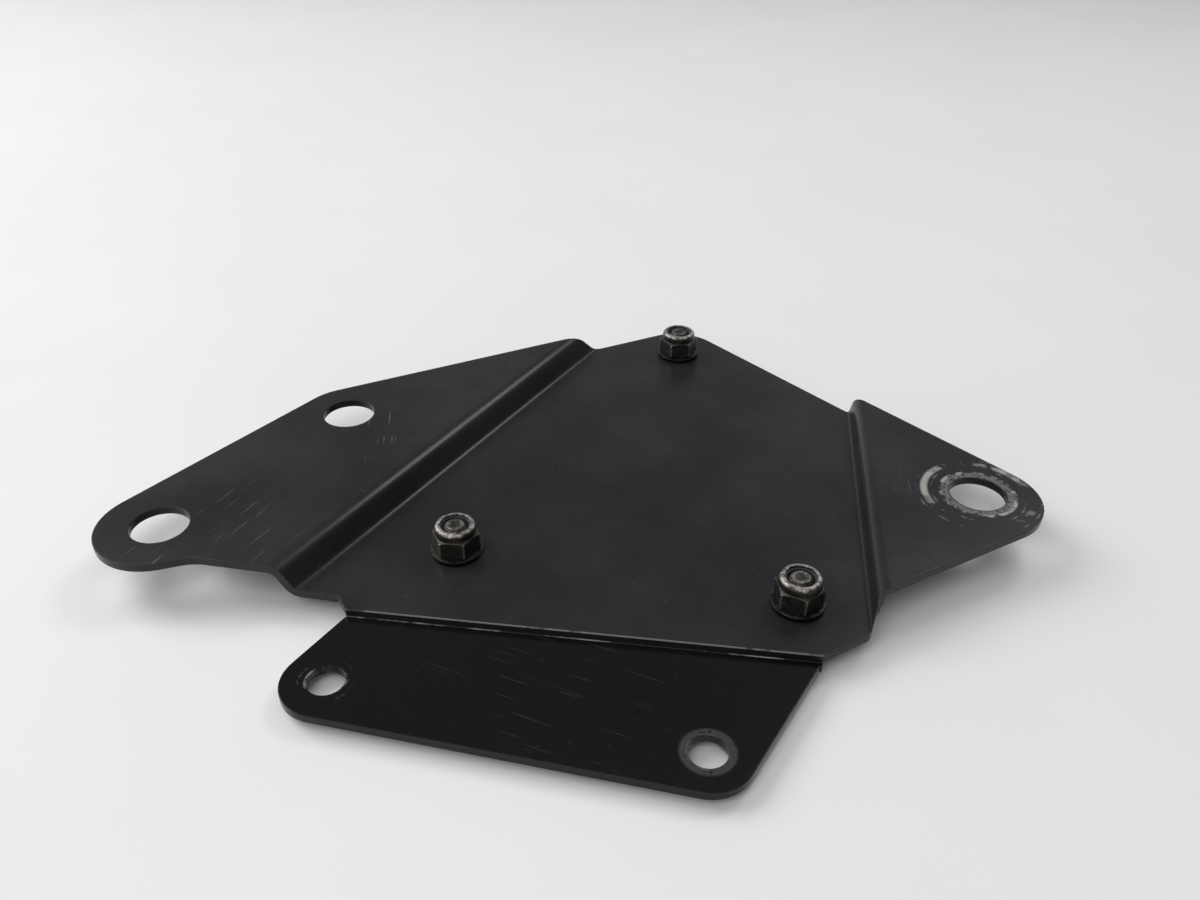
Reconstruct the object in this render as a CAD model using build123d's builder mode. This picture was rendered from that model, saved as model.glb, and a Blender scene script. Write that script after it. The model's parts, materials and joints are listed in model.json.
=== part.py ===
"""Motor mounting bracket: one pressed steel plate with three bolts and lock nuts.

Frame: the origin is midway between the two flap holes, on the underside of the
flap. +X runs along the row of flap holes, +Y towards the back, +Z up.
"""
import math
import os

from build123d import *

# ---- sheet and levels -------------------------------------------------------
sheet = 2.5                    # thickness of the steel
step_edge_round = 0.4          # worn top edge of the step
step_drop = 2.5                # the front flap lies this much below the middle field
wing_rise = 8.0                # both wings stand this much above the middle field

# ---- bends ------------------------------------------------------------------
left_bend_foot = (-74.6, 29.0)     # a point on the foot of the left bend
left_bend_direction = 72.4         # degrees from +X
left_bend_slope = 62.0             # steepness of its wall
left_bend_radius = 3.0             # inside radius
right_bend_foot = (90.5, 60.0)
right_bend_direction = 95.0
right_bend_slope = 80.0
right_bend_radius = 1.2
heel_overlap = 2.8                 # the pressed step reaches this far under the field
heel_round = 1.1

# ---- plate outline ----------------------------------------------------------
step_start = (-56.4, 24.3)         # left end of the step
step_length = 134.4
step_direction = 5.5               # degrees from +X
jog_start = (89.9, 49.0)           # short edge across the right bend
jog_end = (91.4, 58.2)
jog_round = 3.5
jog_hollow = 2.5
nose_centre = (121.6, 110.8)       # rounded end of the right wing
nose_radius = 19.3
crown_radius = 17.6                # rounded back corner, around the back bolt
shoulder_radius = 17.6             # rounded back corner of the left wing
ear_centre = (-122.4, 38.2)        # rounded front corner of the left wing
ear_radius = 18.9
ear_run_out = 31.0                 # slope at which the ear meets the front edge
ear_hollow = 14.0
notch_corner = (-61.0, 29.2)       # small slanted corner beside the step
notch_round = 1.2
front_left_slope = 3.1             # degrees

# ---- holes ------------------------------------------------------------------
flap_hole_spacing = 102.5
flap_hole = 10.4                   # diameters
flap_margin = 12.4                 # round corners of the flap, about its holes
wing_hole = 17.7
ear_hole_centre = (-122.2, 38.2)
shoulder_hole_centre = (-93.1, 110.6)
nose_hole_centre = (121.2, 112.7)

# ---- bolts, washers and lock nuts -------------------------------------------
front_bolt_y = 56.7
fixings = {                        # centre, and turn of the nut in degrees
    "back": ((11.1, 195.6), 16.5),
    "left": ((-34.2, front_bolt_y), 7.5),
    "right": ((69.0, front_bolt_y), -10.6),
}
bolt_size = 8.0
bolt_clearance = 0.5               # between shank and plate, all round
thread_clearance = 0.05            # between bolt and nut, all round
bolt_end_setback = 0.5             # the bolt ends this far below the top of the nut
bolt_end_chamfer = 0.9
across_flats = 13.0
head_height = 5.3
hex_chamfer_slope = 30.0
washer_outer = 16.0
washer_clearance = 0.2             # between bolt and washer, all round
washer_thickness = 1.6
nut_height = 8.8
nut_hex_height = 6.0
collar_radius = 6.3
collar_wall = 0.8
collar_round = 1.3
lip_thickness = 0.7                # rolled lip that holds the insert
lip_radius = 4.65
insert_height = 2.0

# ---- derived ----------------------------------------------------------------
field_bottom = step_drop
field_top = field_bottom + sheet
wing_top = field_top + wing_rise
flap_left = (-flap_hole_spacing / 2, 0.0)
flap_right = (flap_hole_spacing / 2, 0.0)
step_angle = math.radians(step_direction)
step_end = (
    step_start[0] + step_length * math.cos(step_angle),
    step_start[1] + step_length * math.sin(step_angle),
)
crown_centre = fixings["back"][0]
reach = 400.0                      # longer than the plate is in any direction
join = 1.0                         # flat stretch that the heel shares with its neighbours

os.makedirs("parts", exist_ok=True)


def belt_run(here, here_radius, there, there_radius):
    """Return both ends of the outer run of a belt laid anticlockwise over two discs."""
    across, up = there[0] - here[0], there[1] - here[1]
    lean = math.asin((here_radius - there_radius) / math.hypot(across, up))
    heading = math.atan2(up, across) + lean
    side = (math.sin(heading), -math.cos(heading))
    start = (here[0] + here_radius * side[0], here[1] + here_radius * side[1])
    end = (there[0] + there_radius * side[0], there[1] + there_radius * side[1])
    return start, end


def bend_plane(foot, direction):
    """Return a plane square to a bend: its X points right, its Y is the part's Z."""
    turn = math.radians(direction)
    return Plane(
        origin=(foot[0], foot[1], 0),
        x_dir=(math.sin(turn), -math.cos(turn), 0),
        z_dir=(-math.cos(turn), -math.sin(turn), 0),
    )


def corner(sketch, point):
    """Return the vertex of a sketch nearest to a point."""
    return sketch.vertices().sort_by_distance((point[0], point[1], 0))[0]


# ---- outline of the field and both wings ------------------------------------
nose_front = belt_run(jog_end, 0, nose_centre, nose_radius)
right_back = belt_run(nose_centre, nose_radius, crown_centre, crown_radius)
left_back = belt_run(crown_centre, crown_radius, shoulder_hole_centre, shoulder_radius)
left_side = belt_run(shoulder_hole_centre, shoulder_radius, ear_centre, ear_radius)
run_out = math.radians(ear_run_out)
ear_leave = (
    ear_centre[0] + ear_radius * math.sin(run_out),
    ear_centre[1] - ear_radius * math.cos(run_out),
)
front_slope = math.tan(math.radians(front_left_slope))
ear_slope = math.tan(run_out)
front_level = notch_corner[1] - front_slope * notch_corner[0]
ear_level = ear_leave[1] - ear_slope * ear_leave[0]
hollow_x = (front_level - ear_level) / (ear_slope - front_slope)
hollow_corner = (hollow_x, front_level + front_slope * hollow_x)

with BuildSketch() as outline:
    with BuildLine():
        Polyline(step_start, step_end, jog_start, *nose_front)
        RadiusArc(nose_front[1], right_back[0], -nose_radius)
        Line(*right_back)
        RadiusArc(right_back[1], left_back[0], -crown_radius)
        Line(*left_back)
        RadiusArc(left_back[1], left_side[0], -shoulder_radius)
        Line(*left_side)
        RadiusArc(left_side[1], ear_leave, -ear_radius)
        Polyline(ear_leave, hollow_corner, notch_corner, step_start)
    make_face()
    fillet(corner(outline, jog_start), jog_round)
    fillet(corner(outline, jog_end), jog_hollow)
    fillet(corner(outline, hollow_corner), ear_hollow)
    fillet(corner(outline, notch_corner), notch_round)

# ---- the two halves of the raised plate, each with its bend -----------------
left_run = wing_rise / math.tan(math.radians(left_bend_slope))
right_run = wing_rise / math.tan(math.radians(right_bend_slope))
left_shift = math.tan(math.radians(left_bend_slope / 2)) * sheet / 2
right_shift = math.tan(math.radians(right_bend_slope / 2)) * sheet / 2
wing_bottom = wing_top - sheet

with BuildPart() as left_half:
    with BuildSketch(bend_plane(left_bend_foot, left_bend_direction)) as left_section:
        with BuildLine():
            Polyline(
                (-reach, wing_bottom),
                (-left_run - left_shift, wing_bottom),
                (-left_shift, field_bottom),
                (reach, field_bottom),
                (reach, field_top),
                (left_shift, field_top),
                (left_shift - left_run, wing_top),
                (-reach, wing_top),
                close=True,
            )
        make_face()
        fillet(corner(left_section, (left_shift, field_top)), left_bend_radius)
        fillet(corner(left_section, (-left_run - left_shift, wing_bottom)), left_bend_radius)
        fillet(corner(left_section, (-left_shift, field_bottom)), left_bend_radius + sheet)
        fillet(corner(left_section, (left_shift - left_run, wing_top)), left_bend_radius + sheet)
    extrude(amount=reach, both=True)
    extrude(outline.sketch, amount=reach, mode=Mode.INTERSECT)
    split(bisect_by=Plane.YZ.offset(crown_centre[0]), keep=Keep.BOTTOM)

with BuildPart() as right_half:
    with BuildSketch(bend_plane(right_bend_foot, right_bend_direction)) as right_section:
        with BuildLine():
            Polyline(
                (-reach, field_bottom),
                (right_shift, field_bottom),
                (right_run + right_shift, wing_bottom),
                (reach, wing_bottom),
                (reach, wing_top),
                (right_run - right_shift, wing_top),
                (-right_shift, field_top),
                (-reach, field_top),
                close=True,
            )
        make_face()
        fillet(corner(right_section, (-right_shift, field_top)), right_bend_radius)
        fillet(corner(right_section, (right_run + right_shift, wing_bottom)), right_bend_radius)
        fillet(corner(right_section, (right_shift, field_bottom)), right_bend_radius + sheet)
        fillet(corner(right_section, (right_run - right_shift, wing_top)), right_bend_radius + sheet)
    extrude(amount=reach, both=True)
    extrude(outline.sketch, amount=reach, mode=Mode.INTERSECT)
    split(bisect_by=Plane.YZ.offset(crown_centre[0]), keep=Keep.TOP)

# ---- outline of the flap ----------------------------------------------------
flap_left_side = belt_run(step_start, 0, flap_left, flap_margin)
flap_front = belt_run(flap_left, flap_margin, flap_right, flap_margin)
flap_right_side = belt_run(flap_right, flap_margin, step_end, 0)

with BuildSketch() as flap_outline:
    with BuildLine():
        Line(*flap_left_side)
        RadiusArc(flap_left_side[1], flap_front[0], -flap_margin)
        Line(*flap_front)
        RadiusArc(flap_front[1], flap_right_side[0], -flap_margin)
        Polyline(*flap_right_side, step_start)
    make_face()

step_middle = ((step_start[0] + step_end[0]) / 2, (step_start[1] + step_end[1]) / 2)

# ---- the whole plate --------------------------------------------------------
with BuildPart() as bracket_plate:
    add(left_half.part)
    add(right_half.part)
    extrude(flap_outline.sketch, amount=sheet)
    with BuildSketch(bend_plane(step_middle, step_direction)):
        with BuildLine() as heel_line:
            Polyline(
                (join, 0),
                (join, sheet),
                (0, sheet),
                (0, field_bottom + join),
                (-heel_overlap - 2 * join, field_bottom + join),
                (-heel_overlap - 2 * join, field_bottom),
                (-heel_overlap, field_bottom),
                (-heel_overlap, 0),
                close=True,
            )
            back_corners = heel_line.vertices().filter_by_position(
                Axis.X, -heel_overlap - join / 2, -heel_overlap + join / 2
            )
            fillet(back_corners, heel_round)
        make_face()
    extrude(amount=step_length / 2, both=True)
    with BuildSketch() as plate_holes:
        with Locations(flap_left, flap_right):
            Circle(flap_hole / 2)
        with Locations(ear_hole_centre, shoulder_hole_centre, nose_hole_centre):
            Circle(wing_hole / 2)
        with Locations(*[centre for centre, _ in fixings.values()]):
            Circle(bolt_size / 2 + bolt_clearance)
    extrude(amount=reach, mode=Mode.SUBTRACT)

    step_edge = bracket_plate.edges().sort_by_distance((*step_middle, field_top))[0]
    fillet(step_edge, step_edge_round)
bracket_plate.part.label = "bracket_plate"
export_step(bracket_plate.part, "parts/bracket_plate.step")

# ---- bolts, washers, lock nuts and their inserts ----------------------------
washer_top = field_top + washer_thickness
nut_top = washer_top + nut_height
insert_top = nut_top - lip_thickness
insert_bottom = insert_top - insert_height
bore_radius = bolt_size / 2 + thread_clearance
corner_radius = across_flats / math.sqrt(3)
hex_chamfer = (corner_radius - across_flats / 2) * math.tan(math.radians(hex_chamfer_slope))

for name, ((centre_x, centre_y), turn) in fixings.items():
    with BuildPart() as bolt:
        with BuildSketch(Plane.XY.offset(field_bottom - head_height)):
            with Locations((centre_x, centre_y)):
                RegularPolygon(across_flats / 2, 6, major_radius=False, rotation=turn)
        extrude(amount=head_height)
        with BuildSketch(Plane(origin=(centre_x, centre_y, field_bottom), x_dir=(1, 0, 0), z_dir=(0, -1, 0))):
            with BuildLine():
                Polyline(
                    (0, -head_height),
                    (across_flats / 2, -head_height),
                    (corner_radius, hex_chamfer - head_height),
                    (corner_radius, 0),
                    (0, 0),
                    close=True,
                )
            make_face()
        revolve(axis=Axis((centre_x, centre_y, 0), (0, 0, 1)), mode=Mode.INTERSECT)
        with BuildSketch(Plane.XY.offset(field_bottom)):
            with Locations((centre_x, centre_y)):
                Circle(bolt_size / 2)
        extrude(amount=nut_top - bolt_end_setback - field_bottom)
        chamfer(bolt.edges().sort_by(Axis.Z)[-1], bolt_end_chamfer)
    bolt.part.label = f"bolt_{name}"
    export_step(bolt.part, f"parts/bolt_{name}.step")

    with BuildPart() as washer:
        with BuildSketch(Plane.XY.offset(field_top)):
            with Locations((centre_x, centre_y)):
                Circle(washer_outer / 2)
                Circle(bolt_size / 2 + washer_clearance, mode=Mode.SUBTRACT)
        extrude(amount=washer_thickness)
    washer.part.label = f"washer_{name}"
    export_step(washer.part, f"parts/washer_{name}.step")

    with BuildPart() as lock_nut:
        with BuildSketch(Plane.XY.offset(washer_top)):
            with Locations((centre_x, centre_y)):
                RegularPolygon(across_flats / 2, 6, major_radius=False, rotation=turn)
        extrude(amount=nut_height)
        with BuildSketch(Plane(origin=(centre_x, centre_y, washer_top), x_dir=(1, 0, 0), z_dir=(0, -1, 0))):
            with BuildLine() as nut_line:
                Polyline(
                    (bore_radius, 0),
                    (across_flats / 2, 0),
                    (corner_radius, hex_chamfer),
                    (corner_radius, nut_hex_height - hex_chamfer),
                    (across_flats / 2, nut_hex_height),
                    (collar_radius, nut_hex_height),
                    (collar_radius, nut_height),
                    (lip_radius, nut_height),
                    (lip_radius, nut_height - lip_thickness),
                    (collar_radius - collar_wall, nut_height - lip_thickness),
                    (collar_radius - collar_wall, nut_height - lip_thickness - insert_height),
                    (bore_radius, nut_height - lip_thickness - insert_height),
                    close=True,
                )
                outer_top = nut_line.vertices().sort_by_distance((collar_radius, nut_height, 0))[0]
                fillet(outer_top, collar_round)
            make_face()
        revolve(axis=Axis((centre_x, centre_y, 0), (0, 0, 1)), mode=Mode.INTERSECT)
    lock_nut.part.label = f"lock_nut_{name}"
    export_step(lock_nut.part, f"parts/lock_nut_{name}.step")

    with BuildPart() as insert:
        with BuildSketch(Plane.XY.offset(insert_bottom)):
            with Locations((centre_x, centre_y)):
                Circle(collar_radius - collar_wall)
                Circle(bore_radius, mode=Mode.SUBTRACT)
        extrude(amount=insert_height)
    insert.part.label = f"nut_insert_{name}"
    export_step(insert.part, f"parts/nut_insert_{name}.step")
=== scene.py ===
"""Looks of the motor mounting bracket: its paint, worn marks and painted highlights, its steel fixings, a
floor and studio light.
"""

import json
import logging
import math
from dataclasses import dataclass, field
from enum import Enum

import bpy
import numpy as np
from mathutils import Matrix, Vector

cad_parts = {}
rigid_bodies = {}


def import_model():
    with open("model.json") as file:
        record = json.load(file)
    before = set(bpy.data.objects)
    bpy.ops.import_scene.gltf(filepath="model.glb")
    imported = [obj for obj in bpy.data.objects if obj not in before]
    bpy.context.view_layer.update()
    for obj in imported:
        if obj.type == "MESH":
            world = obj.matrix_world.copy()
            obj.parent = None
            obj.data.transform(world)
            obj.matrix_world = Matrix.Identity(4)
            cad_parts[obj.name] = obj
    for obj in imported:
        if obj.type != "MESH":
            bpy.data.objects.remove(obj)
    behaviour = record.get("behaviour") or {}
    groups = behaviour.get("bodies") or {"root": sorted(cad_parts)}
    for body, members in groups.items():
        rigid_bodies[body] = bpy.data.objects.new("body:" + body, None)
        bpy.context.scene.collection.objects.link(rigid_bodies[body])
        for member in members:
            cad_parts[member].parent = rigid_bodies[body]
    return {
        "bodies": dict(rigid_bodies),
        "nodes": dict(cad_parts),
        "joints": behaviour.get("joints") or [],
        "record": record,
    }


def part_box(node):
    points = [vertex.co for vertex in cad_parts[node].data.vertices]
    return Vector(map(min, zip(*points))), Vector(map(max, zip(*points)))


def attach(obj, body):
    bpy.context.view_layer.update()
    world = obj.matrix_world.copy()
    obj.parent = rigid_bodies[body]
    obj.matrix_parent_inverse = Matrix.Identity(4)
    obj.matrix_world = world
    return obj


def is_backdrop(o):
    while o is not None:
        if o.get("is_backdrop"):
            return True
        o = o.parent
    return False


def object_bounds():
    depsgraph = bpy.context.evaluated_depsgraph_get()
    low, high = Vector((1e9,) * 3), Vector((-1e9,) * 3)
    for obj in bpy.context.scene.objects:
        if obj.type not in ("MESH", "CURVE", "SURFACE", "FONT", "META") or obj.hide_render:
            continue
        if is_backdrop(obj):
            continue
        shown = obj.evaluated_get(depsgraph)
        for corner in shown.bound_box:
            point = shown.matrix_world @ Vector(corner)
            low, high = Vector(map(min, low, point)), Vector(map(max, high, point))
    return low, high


log = logging.getLogger("bracket")
MM = 0.001
Point = tuple[float, float, float]


class Side(Enum):
    """Where each bolt stands on the middle field."""

    BACK = "back"
    LEFT = "left"
    RIGHT = "right"


def cool(level: float) -> tuple[float, float, float, float]:
    """Return a faintly blue black of the given linear level."""
    return (level * 0.94, level * 0.98, level * 1.12, 1.0)


def grey(level: float) -> tuple[float, float, float, float]:
    """Return a neutral colour of the given linear level."""
    return (level, level, level, 1.0)


class Bench:
    """Adds nodes to one node tree and wires them together."""

    def __init__(self, tree: bpy.types.NodeTree) -> None:
        """Keep the tree that the nodes go into."""
        self.tree = tree

    def node(self, kind: str, **settings: object) -> bpy.types.Node:
        """Add a node.

        Args:
            kind: the node's type name.
            settings: attributes to set on it.

        Returns:
            The new node.
        """
        made = self.tree.nodes.new(kind)
        for name, value in settings.items():
            setattr(made, name, value)
        return made

    def feed(self, socket: bpy.types.NodeSocket, value: object) -> None:
        """Link a socket to an output, or set it to a plain value."""
        if isinstance(value, bpy.types.NodeSocket):
            self.tree.links.new(value, socket)
        else:
            socket.default_value = value

    def math(self, operation: str, *values: object, clamp: bool = False) -> bpy.types.NodeSocket:
        """Return the result of a Math node over the given values."""
        made = self.node("ShaderNodeMath", operation=operation, use_clamp=clamp)
        for socket, value in zip(made.inputs, values):
            self.feed(socket, value)
        return made.outputs[0]

    def vector_math(self, operation: str, *values: object) -> bpy.types.Node:
        """Return a Vector Math node over the given values."""
        made = self.node("ShaderNodeVectorMath", operation=operation)
        for socket, value in zip(made.inputs, values):
            self.feed(socket, value)
        return made

    def ramp(self, value: object, low: float, high: float, start: float = 0.0,
             end: float = 1.0) -> bpy.types.NodeSocket:
        """Return value carried smoothly from the span low..high to start..end."""
        made = self.node("ShaderNodeMapRange", interpolation_type="SMOOTHSTEP")
        for name, given in (("Value", value), ("From Min", low), ("From Max", high),
                            ("To Min", start), ("To Max", end)):
            self.feed(made.inputs[name], given)
        return made.outputs["Result"]

    def noise(self, place: object, scale: float, detail: float = 3.0,
              roughness: float = 0.55) -> bpy.types.NodeSocket:
        """Return a noise value at a place, with its grain count per metre."""
        made = self.node("ShaderNodeTexNoise")
        for name, given in (("Vector", place), ("Scale", scale), ("Detail", detail),
                            ("Roughness", roughness)):
            self.feed(made.inputs[name], given)
        return made.outputs["Fac"]

    def mix(self, share: object, first: object, second: object) -> bpy.types.NodeSocket:
        """Return a colour between first and second."""
        made = self.node("ShaderNodeMix", data_type="RGBA")
        colours = [s for s in made.inputs if s.type == "RGBA"]
        self.feed(made.inputs[0], share)
        self.feed(colours[0], first)
        self.feed(colours[1], second)
        return next(s for s in made.outputs if s.type == "RGBA")

    def place(self) -> bpy.types.NodeSocket:
        """Return the place on the object, in metres."""
        return self.node("ShaderNodeTexCoord").outputs["Object"]

    def stretched(self, place: object, turn: float, scale: Point) -> bpy.types.NodeSocket:
        """Return a place turned about Z by turn degrees and then scaled."""
        made = self.node("ShaderNodeMapping", vector_type="TEXTURE")
        self.feed(made.inputs["Vector"], place)
        made.inputs["Rotation"].default_value = (0.0, 0.0, math.radians(turn))
        made.inputs["Scale"].default_value = tuple(1.0 / s for s in scale)
        return made.outputs["Vector"]


def new_group(name: str, inputs: dict[str, str], outputs: dict[str, str]) -> tuple[
        bpy.types.NodeTree, Bench, bpy.types.Node, bpy.types.Node]:
    """Start a shader node group.

    Args:
        name: the group's name.
        inputs: socket types by input name.
        outputs: socket types by output name.

    Returns:
        The group, a bench on it, and its input and output nodes.
    """
    group = bpy.data.node_groups.new(name, "ShaderNodeTree")
    for label, kind in inputs.items():
        group.interface.new_socket(label, in_out="INPUT", socket_type=kind)
    for label, kind in outputs.items():
        group.interface.new_socket(label, in_out="OUTPUT", socket_type=kind)
    bench = Bench(group)
    return group, bench, bench.node("NodeGroupInput"), bench.node("NodeGroupOutput")


FLOAT, VECTOR = "NodeSocketFloat", "NodeSocketVector"


def ring_group() -> bpy.types.NodeTree:
    """Build the worn ring: a band about an upright axis, broken up by noise.

    The band is 1 where |distance to the axis - Radius| is well under Width, and
    falls to 0 past it. Noise over Break takes patches out of it.
    """
    group, bench, given, out = new_group(
        "worn ring",
        {"Place": VECTOR, "Centre": VECTOR, "Radius": FLOAT, "Width": FLOAT, "Break": FLOAT,
         "Grain": FLOAT},
        {"Mask": FLOAT},
    )
    flat = bench.vector_math("MULTIPLY", given.outputs["Place"], (1.0, 1.0, 0.0)).outputs[0]
    away = bench.vector_math("DISTANCE", flat, given.outputs["Centre"]).outputs["Value"]
    off = bench.math("ABSOLUTE", bench.math("SUBTRACT", away, given.outputs["Radius"]))
    share = bench.math("DIVIDE", off, given.outputs["Width"])
    band = bench.ramp(share, 0.35, 1.0, 1.0, 0.0)
    patches = bench.noise(given.outputs["Place"], 300.0, 5.0, 0.7)
    bench.feed(patches.node.inputs["Scale"], given.outputs["Grain"])
    kept = bench.math("MULTIPLY", bench.math("SUBTRACT", patches, given.outputs["Break"]), 9.0, clamp=True)
    bench.feed(out.inputs["Mask"], bench.math("MULTIPLY", band, kept))
    return group


def line_group() -> bpy.types.NodeTree:
    """Build the highlight line: a painted highlight in a band along a straight line in plan, kept between two
    heights.
    """
    group, bench, given, out = new_group(
        "highlight line",
        {"Place": VECTOR, "Start": VECTOR, "Across": VECTOR, "Width": FLOAT, "Low": FLOAT,
         "High": FLOAT, "Break": FLOAT, "Grain": FLOAT},
        {"Mask": FLOAT},
    )
    local = bench.vector_math("SUBTRACT", given.outputs["Place"], given.outputs["Start"]).outputs[0]
    across = bench.vector_math("DOT_PRODUCT", local, given.outputs["Across"]).outputs["Value"]
    off = bench.math("ABSOLUTE", across)
    band = bench.math("LESS_THAN", off, given.outputs["Width"])
    height = bench.node("ShaderNodeSeparateXYZ")
    bench.feed(height.inputs[0], given.outputs["Place"])
    above = bench.math("GREATER_THAN", height.outputs["Z"], given.outputs["Low"])
    below = bench.math("LESS_THAN", height.outputs["Z"], given.outputs["High"])
    patches = bench.noise(given.outputs["Place"], 300.0, 4.0, 0.65)
    bench.feed(patches.node.inputs["Scale"], given.outputs["Grain"])
    kept = bench.math("MULTIPLY", bench.math("SUBTRACT", patches, given.outputs["Break"]), 12.0, clamp=True)
    level = bench.math("MULTIPLY", above, below)
    bench.feed(out.inputs["Mask"], bench.math("MULTIPLY", bench.math("MULTIPLY", band, kept), level))
    return group


def dust_group() -> bpy.types.NodeTree:
    """Build dust and handling marks: wide soft clouds and fine specks."""
    group, bench, given, out = new_group(
        "dust", {"Place": VECTOR, "Clouds": FLOAT, "Specks": FLOAT}, {"Film": FLOAT, "Speck": FLOAT}
    )
    clouds = bench.ramp(bench.noise(given.outputs["Place"], 22.0, 5.0, 0.6), 0.35, 0.75)
    bench.feed(out.inputs["Film"], bench.math("MULTIPLY", clouds, given.outputs["Clouds"]))
    fine = bench.noise(given.outputs["Place"], 1500.0, 2.0, 0.5)
    patchy = bench.ramp(bench.noise(given.outputs["Place"], 60.0, 3.0, 0.6), 0.52, 0.7)
    specks = bench.math("MULTIPLY", bench.ramp(fine, 0.70, 0.76), patchy)
    bench.feed(out.inputs["Speck"], bench.math("MULTIPLY", specks, given.outputs["Specks"]))
    return group


def scratch_group() -> bpy.types.NodeTree:
    """Build fine scratches: noise drawn out along Y, thinned to a few hairlines."""
    group, bench, given, out = new_group(
        "scratches", {"Place": VECTOR, "Amount": FLOAT}, {"Mask": FLOAT}
    )
    hair = bench.noise(given.outputs["Place"], 1.0, 1.0, 0.4)
    lines = bench.ramp(hair, 0.70, 0.74)
    bench.feed(out.inputs["Mask"], bench.math("MULTIPLY", lines, given.outputs["Amount"]))
    return group


@dataclass(frozen=True)
class WornRing:
    """A ring that a washer or bolt head rubbed into the paint.

    The centre is in metres, the radius and width are in millimetres, missing is the
    noise level under which the paint is whole, and grain counts patches per metre.
    """

    centre: Point
    radius: float
    width: float
    missing: float
    grain: float = 320.0
    strength: float = 1.0


@dataclass(frozen=True)
class HighlightLine:
    """A painted highlight along a straight edge of the plate, in metres, with its direction in degrees."""

    start: Point
    direction: float
    width: float
    low: float
    high: float
    missing: float
    grain: float
    strength: float = 1.0


@dataclass(frozen=True)
class Scuff:
    """A patch of fine scratches, in metres, with their direction in degrees from +Y."""

    centre: Point
    reach: float
    turn: float
    spacing: float
    length: float
    strength: float

    def mask(self, bench: Bench, groups: "Groups", place: bpy.types.NodeSocket) -> bpy.types.NodeSocket:
        """Return the mask of the scratches inside the patch.

        Args:
            bench: the material's bench.
            groups: the shared node groups.
            place: the place on the object.

        Returns:
            A value from 0 to the patch's strength.
        """
        along = 1.0 / self.length
        drawn = bench.stretched(place, self.turn, (1.0 / self.spacing, along, along))
        lines = groups.use(bench, "scratches", Place=drawn, Amount=self.strength).outputs[0]
        flat = bench.vector_math("MULTIPLY", place, (1.0, 1.0, 0.0)).outputs[0]
        away = bench.vector_math("DISTANCE", flat, self.centre).outputs["Value"]
        return bench.math("MULTIPLY", lines, bench.ramp(away, self.reach * 0.4, self.reach, 1.0, 0.0))


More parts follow.
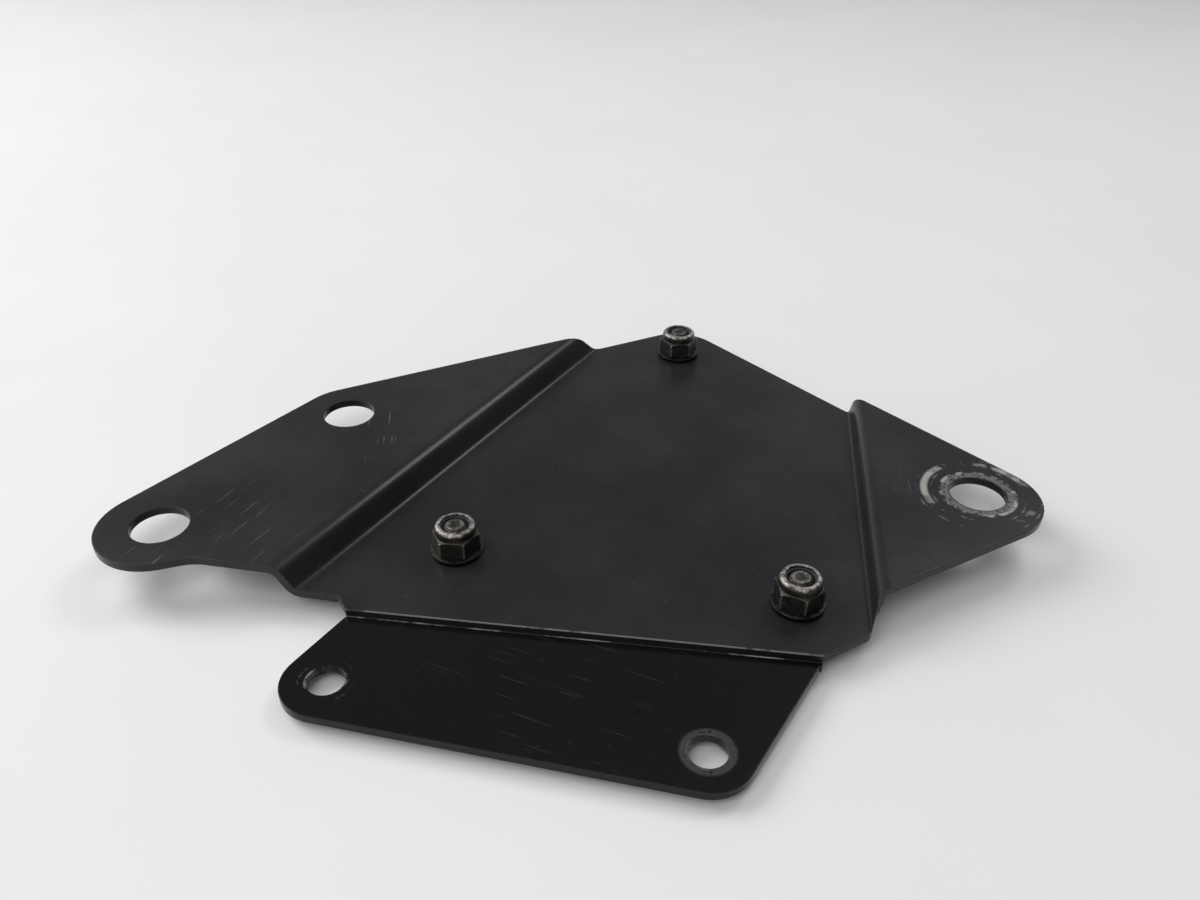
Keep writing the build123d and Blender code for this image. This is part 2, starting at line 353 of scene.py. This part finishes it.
@dataclass(frozen=True)
class PaintFinish:
    """Black satin paint on the pressed plate, worn through to grey steel in places, with painted highlights
    in the same grey along the step.

    The flap's paint runs from paint to dusty, and the rest of the plate has the
    darker, smoother glossy. Both meet at the line through flap_edge, which is in
    metres and runs in flap_direction, in degrees.
    """

    paint: float = 0.013
    dusty: float = 0.022
    glossy: float = 0.0035
    flap_roughness: float = 0.14
    field_roughness: float = 0.25
    refraction: float = 1.35
    edge_round: float = 0.45 * MM
    peel_height: float = 0.006
    ripple_height: float = 0.05
    wear_depth: float = 0.03
    # Grey steel where the paint is worn through, and also the colour of the painted highlights along the
    # step.
    bare_and_highlight: tuple[float, float, float, float] = (0.36, 0.35, 0.33, 1.0)
    rings: tuple[WornRing, ...] = ()
    lines: tuple[HighlightLine, ...] = ()
    scuffs: tuple[Scuff, ...] = ()
    flap_edge: Point = (0.0, 0.0, 0.0)
    flap_direction: float = 0.0

    def build(self, groups: "Groups") -> bpy.types.Material:
        """Make the material.

        Args:
            groups: the shared node groups.

        Returns:
            The finished paint.
        """
        material = bpy.data.materials.new("plate paint")
        material.use_nodes = True
        bench = Bench(material.node_tree)
        shader = material.node_tree.nodes["Principled BSDF"]
        place = bench.place()
        dust = groups.use(bench, "dust", Place=place, Clouds=1.0, Specks=0.35)
        wear_and_highlight = dust.outputs["Speck"]
        facing = bench.node("ShaderNodeSeparateXYZ")
        bench.feed(facing.inputs[0], bench.node("ShaderNodeNewGeometry").outputs["Normal"])
        upward = bench.math("GREATER_THAN", facing.outputs["Z"], 0.8)
        for scuff in self.scuffs:
            lines = bench.math("MULTIPLY", scuff.mask(bench, groups, place), upward)
            wear_and_highlight = bench.math("MAXIMUM", wear_and_highlight, lines)
        for ring in self.rings:
            mask = groups.use(bench, "worn ring", Place=place, Centre=ring.centre, Radius=ring.radius * MM,
                              Width=ring.width * MM, Break=ring.missing, Grain=ring.grain).outputs[0]
            wear_and_highlight = bench.math("MAXIMUM", wear_and_highlight, bench.math("MULTIPLY", mask, ring.strength))
        # The lines paint highlights along the step; they join the worn marks in the mask towards the grey.
        for line in self.lines:
            turn = math.radians(line.direction)
            mask = groups.use(bench, "highlight line", Place=place, Start=line.start,
                              Across=(-math.sin(turn), math.cos(turn), 0.0), Width=line.width,
                              Low=line.low, High=line.high, Break=line.missing, Grain=line.grain).outputs[0]
            wear_and_highlight = bench.math("MAXIMUM", wear_and_highlight, bench.math("MULTIPLY", mask, line.strength))
        turn = math.radians(self.flap_direction)
        local = bench.vector_math("SUBTRACT", place, self.flap_edge).outputs[0]
        across = (-math.sin(turn), math.cos(turn), 0.0)
        behind = bench.vector_math("DOT_PRODUCT", local, across).outputs["Value"]
        on_field = bench.ramp(behind, -0.0006, 0.0006)
        film = bench.math("MULTIPLY", dust.outputs["Film"], bench.ramp(on_field, 0.0, 1.0, 0.25, 1.0))
        coat = bench.mix(film, cool(self.paint), cool(self.dusty))
        coat = bench.mix(on_field, cool(self.glossy), coat)
        # Worn marks show grey steel, and the step's painted highlights take the same grey.
        bench.feed(shader.inputs["Base Color"], bench.mix(wear_and_highlight, coat, self.bare_and_highlight))
        sheen = bench.ramp(on_field, 0.0, 1.0, self.flap_roughness, self.field_roughness)
        varied = bench.math("ADD", sheen, bench.math("MULTIPLY", dust.outputs["Film"], 0.05))
        bench.feed(shader.inputs["Roughness"],
                   bench.math("ADD", varied, bench.math("MULTIPLY", wear_and_highlight, 0.25), clamp=True))
        shader.inputs["IOR"].default_value = self.refraction
        soft_edge = bench.node("ShaderNodeBevel", samples=6)
        soft_edge.inputs["Radius"].default_value = self.edge_round
        peel = bench.noise(place, 900.0, 2.0, 0.5)
        ripple = bench.noise(place, 70.0, 2.0, 0.5)
        peel = bench.math("MULTIPLY", peel, self.peel_height)
        height = bench.math("ADD", peel, bench.math("MULTIPLY", ripple, self.ripple_height))
        height = bench.math("SUBTRACT", height, bench.math("MULTIPLY", wear_and_highlight, self.wear_depth))
        bump = bench.node("ShaderNodeBump")
        bump.inputs["Strength"].default_value = 0.35
        bump.inputs["Distance"].default_value = 1.0 * MM
        bench.feed(bump.inputs["Height"], height)
        bench.feed(bump.inputs["Normal"], soft_edge.outputs[0])
        bench.feed(shader.inputs["Normal"], bump.outputs[0])
        return material


@dataclass(frozen=True)
class SteelFinish:
    """Zinc-plated steel that has dulled, with bright worn rims, and darker towards the bottom.

    The axis is the piece's own in plan, rim_radius is where its corners are worn bright,
    and the steel turns from dark to light over the given height up to top, in metres.
    """

    name: str
    metal: tuple[float, float, float, float]
    dark: tuple[float, float, float, float]
    roughness: float
    axis: Point
    rim_radius: float
    top: float
    height: float
    rust: float = 0.0
    edge_round: float = 0.35 * MM
    nick_depth: float = 0.35 * MM

    def build(self) -> bpy.types.Material:
        """Make the material for one turned or hexagonal piece about an upright axis.

        Returns:
            The finished steel.
        """
        material = bpy.data.materials.new(self.name)
        material.use_nodes = True
        bench = Bench(material.node_tree)
        shader = material.node_tree.nodes["Principled BSDF"]
        place = bench.place()
        split = bench.node("ShaderNodeSeparateXYZ")
        bench.feed(split.inputs[0], place)
        stain = bench.noise(place, 520.0, 5.0, 0.7)
        # Darker towards the bottom: the colour runs from dark to metal up the given height, broken up by
        # noise.
        up = bench.ramp(split.outputs["Z"], self.top - self.height, self.top)
        lighter_up = bench.ramp(bench.math("ADD", up, bench.math("MULTIPLY", stain, 1.3)), 1.42, 1.82)
        flat = bench.vector_math("MULTIPLY", place, (1.0, 1.0, 0.0)).outputs[0]
        away = bench.vector_math("DISTANCE", flat, self.axis).outputs["Value"]
        corner = bench.ramp(away, self.rim_radius - 0.25 * MM, self.rim_radius)
        bright = bench.math("MAXIMUM", lighter_up, bench.math("MULTIPLY", corner, 0.55), clamp=True)
        colour = bench.mix(bright, self.dark, self.metal)
        rusty = bench.math("MULTIPLY", bench.ramp(bench.noise(place, 420.0, 4.0, 0.7), 0.55, 0.72), self.rust)
        bench.feed(shader.inputs["Base Color"], bench.mix(rusty, colour, (0.13, 0.055, 0.02, 1.0)))
        bench.feed(shader.inputs["Metallic"], bench.math("SUBTRACT", 0.95, rusty, clamp=True))
        bench.feed(shader.inputs["Roughness"],
                   bench.ramp(stain, 0.3, 0.7, self.roughness - 0.08, self.roughness + 0.14))
        soft_edge = bench.node("ShaderNodeBevel", samples=6)
        soft_edge.inputs["Radius"].default_value = self.edge_round
        nicks = bench.noise(place, 620.0, 6.0, 0.7)
        bump = bench.node("ShaderNodeBump")
        bump.inputs["Strength"].default_value = 0.8
        bump.inputs["Distance"].default_value = self.nick_depth
        bench.feed(bump.inputs["Height"], nicks)
        bench.feed(bump.inputs["Normal"], soft_edge.outputs[0])
        bench.feed(shader.inputs["Normal"], bump.outputs[0])
        return material


@dataclass(frozen=True)
class NylonFinish:
    """The dull plastic ring inside a lock nut."""

    colour: tuple[float, float, float, float] = (0.03, 0.032, 0.036, 1.0)

    def build(self) -> bpy.types.Material:
        """Make the material."""
        material = bpy.data.materials.new("nut nylon")
        material.use_nodes = True
        bench = Bench(material.node_tree)
        shader = material.node_tree.nodes["Principled BSDF"]
        smudge = bench.noise(bench.place(), 500.0, 3.0, 0.6)
        bench.feed(shader.inputs["Base Color"], bench.mix(smudge, self.colour, grey(0.05)))
        shader.inputs["Roughness"].default_value = 0.45
        return material


@dataclass
class Groups:
    """The node groups that several materials share."""

    made: dict[str, bpy.types.NodeTree] = field(default_factory=dict)

    def build(self) -> None:
        """Make every group once."""
        self.made = {
            "worn ring": ring_group(),
            "highlight line": line_group(),
            "dust": dust_group(),
            "scratches": scratch_group(),
        }

    def use(self, bench: Bench, name: str, **values: object) -> bpy.types.Node:
        """Place a group in a material.

        Args:
            bench: the material's bench.
            name: which group.
            values: what its inputs get, by name.

        Returns:
            The group node.
        """
        made = bench.node("ShaderNodeGroup", node_tree=self.made[name])
        for label, value in values.items():
            bench.feed(made.inputs[label], value)
        return made


def dress(thing: bpy.types.Object, material: bpy.types.Material) -> None:
    """Give every material slot of an object the same material."""
    for slot in thing.material_slots:
        slot.material = material


@dataclass
class Plate:
    """The pressed plate: where its step runs and how its holes are worn.

    The step's start and the two heights are in millimetres, its direction in degrees.
    """

    step_start: tuple[float, float] = (-56.4, 24.3)
    step_direction: float = 5.5
    flap_top: float = 2.5
    field_top: float = 5.0

    def holes(self, record: dict) -> dict[str, Point]:
        """Return each hole's centre in plan, in metres, from the record's mounts."""
        mounts = {m["name"]: m for m in record["mounts"]}
        half = mounts["flap_holes"]["dims"]["spacing_x_mm"] * MM / 2
        nose = mounts["right_wing_hole"]["pos_m"]
        return {
            "flap_left": (-half, 0.0, 0.0),
            "flap_right": (half, 0.0, 0.0),
            "nose": (nose[0], nose[1], 0.0),
        }

    def finish(self, record: dict) -> PaintFinish:
        """Return the paint with this plate's own worn marks and painted highlights."""
        hole = self.holes(record)
        start = (self.step_start[0] * MM, self.step_start[1] * MM, 0.0)
        rings = (
            WornRing(hole["nose"], 10.3, 1.6, 0.40, 620.0, 0.34),
            WornRing(hole["nose"], 11.6, 0.9, 0.47, 300.0, 0.85),
            WornRing(hole["nose"], 16.8, 1.5, 0.47, 55.0, 0.85),
            WornRing(hole["nose"], 14.6, 0.45, 0.50, 90.0, 0.5),
            WornRing(hole["nose"], 19.2, 0.4, 0.54, 90.0, 0.4),
            WornRing(hole["flap_right"], 6.3, 1.5, 0.34, 420.0, 0.11),
            WornRing(hole["flap_right"], 5.5, 0.4, 0.46, 260.0, 0.22),
            WornRing(hole["flap_left"], 5.5, 0.5, 0.52, 160.0, 0.5),
            WornRing(hole["flap_left"], 7.4, 0.35, 0.54, 150.0, 0.3),
        )
        # The two lines are painted highlights along the step: a pale band on its top edge, and a brighter
        # broken one in the corner at its foot.
        lines = (
            HighlightLine(start, self.step_direction, 0.45 * MM, (self.field_top - 0.25) * MM,
                     (self.field_top + 0.05) * MM, 0.36, 90.0, 0.30),
            HighlightLine(start, self.step_direction, 0.25 * MM, (self.flap_top - 0.05) * MM,
                     (self.flap_top + 0.22) * MM, 0.49, 38.0, 0.75),
        )
        scuffs = (
            Scuff((-0.105, 0.040, 0.0), 0.034, -14.0, 0.0006, 0.018, 0.22),
            Scuff((-0.081, 0.100, 0.0), 0.022, 20.0, 0.0007, 0.014, 0.18),
            Scuff((0.098, 0.112, 0.0), 0.020, 4.0, 0.0006, 0.016, 0.14),
            Scuff((0.010, 0.005, 0.0), 0.050, 80.0, 0.0006, 0.020, 0.06),
        )
        return PaintFinish(rings=rings, lines=lines, scuffs=scuffs, flap_edge=start,
                           flap_direction=self.step_direction)

    def build(self, frame: dict, groups: Groups) -> None:
        """Dress the plate."""
        dress(frame["nodes"]["bracket_plate"], self.finish(frame["record"]).build(groups))
        log.info("plate painted")


def turned(name: str, radii: np.ndarray, heights: np.ndarray, centre: Point,
           sides: int = 64) -> bpy.types.Object:
    """Turn a profile about an upright axis into a closed mesh.

    A point is centre + (r cos a, r sin a, z), with (r, z) along the profile and a
    right round; the profile's first and last points lie on the axis and become poles.

    Args:
        name: the object's name.
        radii: distances from the axis, upwards from the lower pole, poles left out.
        heights: the heights that go with them, with the lower pole's before and the upper pole's after.
        centre: the axis in plan.
        sides: how many steps go round.

    Returns:
        The new object, with smooth faces.
    """
    angle = np.linspace(0.0, 2.0 * np.pi, sides, endpoint=False)
    x = centre[0] + radii[:, None] * np.cos(angle)
    y = centre[1] + radii[:, None] * np.sin(angle)
    z = np.broadcast_to(heights[1:-1, None], x.shape)
    rings = np.stack([x, y, z], axis=-1).reshape(-1, 3)
    poles = np.array([(centre[0], centre[1], heights[0]), (centre[0], centre[1], heights[-1])])
    points = np.concatenate([rings, poles])
    rows, steps = np.arange(len(radii) - 1)[:, None] * sides, np.arange(sides)
    after = (steps + 1) % sides
    quads = np.stack([rows + steps, rows + after, rows + sides + after, rows + sides + steps], axis=-1)
    low, high, last = len(rings), len(rings) + 1, (len(radii) - 1) * sides
    fans = [(low, b, a) for a, b in zip(steps.tolist(), after.tolist())]
    fans += [(high, last + a, last + b) for a, b in zip(steps.tolist(), after.tolist())]
    mesh = bpy.data.meshes.new(name)
    mesh.from_pydata(points.tolist(), [], quads.reshape(-1, 4).tolist() + fans)
    mesh.shade_smooth()
    thing = bpy.data.objects.new(name, mesh)
    bpy.context.scene.collection.objects.link(thing)
    return thing


@dataclass
class BoltEnd:
    """The end face of a bolt: a raised rim round a pressed dimple. Sizes are in millimetres."""

    reach: float = 3.05
    base: float = 0.05
    lift: float = 0.20
    rim: float = 0.12
    rim_radius: float = 2.35
    rim_width: float = 0.45
    dimple: float = 0.17
    dimple_width: float = 1.15
    steps: int = 24

    def build(self, name: str, centre: Point, level: float,
              material: bpy.types.Material) -> bpy.types.Object:
        """Make the end face.

        The height over the bolt's flat end is lift + rim exp(-((r - rim_radius) / rim_width)^2)
        - dimple exp(-(r / dimple_width)^2), let down to nothing at the outer edge.

        Args:
            name: the object's name.
            centre: the bolt's axis in plan.
            level: the height of the bolt's flat end, in metres.
            material: its finish.

        Returns:
            The new object.
        """
        r = np.linspace(self.reach, self.reach / self.steps, self.steps)
        ease = np.clip((self.reach - r) / (self.reach * 0.12), 0.0, 1.0)
        ease = ease * ease * (3.0 - 2.0 * ease)
        shape = self.lift + self.rim * np.exp(-(((r - self.rim_radius) / self.rim_width) ** 2))
        shape = (shape - self.dimple * np.exp(-((r / self.dimple_width) ** 2))) * ease
        radii = np.concatenate([[self.reach], r]) * MM
        crown = self.lift - self.dimple
        heights = level + np.concatenate([[-self.base], [-self.base], shape, [crown]]) * MM
        thing = turned(name, radii, heights, centre)
        thing.data.materials.append(material)
        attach(thing, "root")
        return thing


@dataclass
class Fixing:
    """One bolt with its washer, lock nut and nylon ring."""

    side: Side
    nut_corner: float = 7.45 * MM
    washer_corner: float = 8.6 * MM

    def axis(self) -> Point:
        """Return the bolt's axis in plan, in metres."""
        low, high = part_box(f"bolt_{self.side.value}")
        return ((low[0] + high[0]) / 2, (low[1] + high[1]) / 2, 0.0)

    def build(self, frame: dict, nylon: bpy.types.Material) -> None:
        """Dress the four pieces and add the bolt's end face.

        Args:
            frame: the loaded frame.
            nylon: the inserts' material.
        """
        nodes, name, axis = frame["nodes"], self.side.value, self.axis()
        nut_low, nut_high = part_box(f"lock_nut_{name}")
        bolt_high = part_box(f"bolt_{name}")[1]
        finishes = {
            f"lock_nut_{name}": SteelFinish(
                f"nut steel {name}", (0.42, 0.405, 0.38, 1.0), (0.050, 0.047, 0.042, 1.0), 0.32, axis,
                self.nut_corner, nut_high[2], 2.6 * MM, 0.35),
            f"bolt_{name}": SteelFinish(
                f"bolt steel {name}", (0.085, 0.08, 0.075, 1.0), (0.03, 0.028, 0.026, 1.0), 0.36, axis,
                self.nut_corner, bolt_high[2], 2 * MM, 0.3),
            f"washer_{name}": SteelFinish(
                f"washer steel {name}", (0.07, 0.066, 0.06, 1.0), (0.015, 0.014, 0.013, 1.0), 0.40, axis,
                self.washer_corner, nut_low[2], 1.6 * MM, 0.3),
        }
        for node, finish in finishes.items():
            dress(nodes[node], finish.build())
        dress(nodes[f"nut_insert_{name}"], nylon)
        end = SteelFinish(f"bolt end {name}", (0.20, 0.19, 0.18, 1.0), (0.045, 0.042, 0.038, 1.0), 0.34, axis,
                          self.nut_corner, bolt_high[2] + 0.3 * MM, 0.5 * MM, 0.2)
        BoltEnd().build(f"bolt_end_{name}", axis, bolt_high[2], end.build())
        log.info("fixing dressed: %s", name)


@dataclass(frozen=True)
class Lamp:
    """A square soft lamp: where it hangs and its side in metres, its power in watts."""

    name: str
    place: Point
    size: float
    power: float

    def build(self, aim: Point) -> None:
        """Hang the lamp.

        Args:
            aim: the point that it looks at.
        """
        data = bpy.data.lights.new(self.name, "AREA")
        data.shape = "SQUARE"
        data.size = self.size
        data.energy = self.power
        lamp = bpy.data.objects.new(self.name, data)
        away = Vector(self.place) - Vector(aim)
        turn = away.to_track_quat("Z", "Y").to_matrix().to_4x4()
        lamp.matrix_world = Matrix.Translation(Vector(self.place)) @ turn
        bpy.context.scene.collection.objects.link(lamp)


@dataclass
class Studio:
    """Floor, light and camera. Lengths are in metres and angles in degrees."""

    lamps: tuple[Lamp, ...] = (
        Lamp("key", (-1.15, 0.30, 1.00), 0.9, 13.8),
        Lamp("strip", (0.45, 0.80, 0.95), 0.35, 2.6),
        Lamp("front", (-0.2, -0.9, 1.2), 1.0, 8.0),
    )
    aim: Point = (0.0, 0.1, 0.0)
    floor_reach: float = 3.0
    camera_place: Point = (0.0619, -0.1721, 0.2080)
    heading: float = 12.7
    pitch: float = 34.11
    roll: float = 0.46
    lens: float = 30.96
    horizon_level: float = 0.75
    upper_level: float = 0.24
    overhead_level: float = 0.35
    dark_side: float = 0.10

    def floor(self, level: float) -> None:
        """Lay a wide pale floor that keeps the object's shadow.

        Args:
            level: the height that the object rests at.
        """
        reach = self.floor_reach
        corners = np.array([(-1, -1), (1, -1), (1, 1), (-1, 1)]) * reach
        points = np.column_stack([corners, np.full(4, level)])
        mesh = bpy.data.meshes.new("floor")
        mesh.from_pydata(points.tolist(), [], [(0, 1, 2, 3)])
        floor = bpy.data.objects.new("floor", mesh)
        bpy.context.scene.collection.objects.link(floor)
        material = bpy.data.materials.new("floor pale")
        material.use_nodes = True
        bench = Bench(material.node_tree)
        shader = material.node_tree.nodes["Principled BSDF"]
        cloud = bench.noise(bench.place(), 9.0, 3.0, 0.5)
        bench.feed(shader.inputs["Base Color"], bench.mix(cloud, grey(0.74), grey(0.80)))
        shader.inputs["Roughness"].default_value = 0.6
        shader.inputs["Specular IOR Level"].default_value = 0.3
        mesh.materials.append(material)
        floor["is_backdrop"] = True

    def world(self) -> None:
        """Fill the room with grey: pale at the horizon, dim above it, darker on the right.

        The level is a smooth fall from the horizon upwards, plus a smooth rise
        overhead, times a smooth fall towards +X.
        """
        world = bpy.data.worlds.new("studio")
        bpy.context.scene.world = world
        world.use_nodes = True
        bench = Bench(world.node_tree)
        world.node_tree.nodes.clear()
        way = bench.node("ShaderNodeSeparateXYZ")
        bench.feed(way.inputs[0], bench.node("ShaderNodeTexCoord").outputs["Generated"])
        low = bench.ramp(way.outputs["Z"], 0.10, 0.50, self.horizon_level, self.upper_level)
        overhead = bench.ramp(way.outputs["Z"], 0.75, 0.95, 0.0, self.overhead_level)
        side = bench.ramp(way.outputs["X"], 0.45, 0.90, 1.0, self.dark_side)
        room = bench.node("ShaderNodeBackground")
        room.inputs["Color"].default_value = grey(1.0)
        bench.feed(room.inputs["Strength"], bench.math("MULTIPLY", bench.math("ADD", low, overhead), side))
        bench.feed(bench.node("ShaderNodeOutputWorld").inputs[0], room.outputs[0])

    def camera(self) -> None:
        """Set up the camera by its place, heading from +Y, downward pitch and roll."""
        data = bpy.data.cameras.new("camera")
        data.sensor_width = 36.0
        data.lens = self.lens
        camera = bpy.data.objects.new("camera", data)
        turn = Matrix.Rotation(math.radians(self.heading), 4, "Z")
        tilt = Matrix.Rotation(math.radians(90.0 - self.pitch), 4, "X")
        lean = Matrix.Rotation(math.radians(self.roll), 4, "Z")
        camera.matrix_world = Matrix.Translation(Vector(self.camera_place)) @ turn @ tilt @ lean
        bpy.context.scene.collection.objects.link(camera)
        bpy.context.scene.camera = camera

    def build(self, level: float) -> None:
        """Make the floor, the light and the camera.

        Args:
            level: the height that the object rests at.
        """
        self.floor(level)
        self.world()
        for lamp in self.lamps:
            lamp.build(self.aim)
        self.camera()
        bpy.context.scene.view_settings.view_transform = "Standard"
        log.info("studio ready")


def main() -> None:
    """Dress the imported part."""
    logging.basicConfig(level=logging.INFO, format="%(message)s")
    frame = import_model()
    cad_low, cad_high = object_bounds()
    groups = Groups()
    groups.build()
    Plate().build(frame, groups)
    nylon = NylonFinish().build()
    for side in Side:
        Fixing(side).build(frame, nylon)
    Studio().build(cad_low[2])


if __name__ == "__main__":
    main()
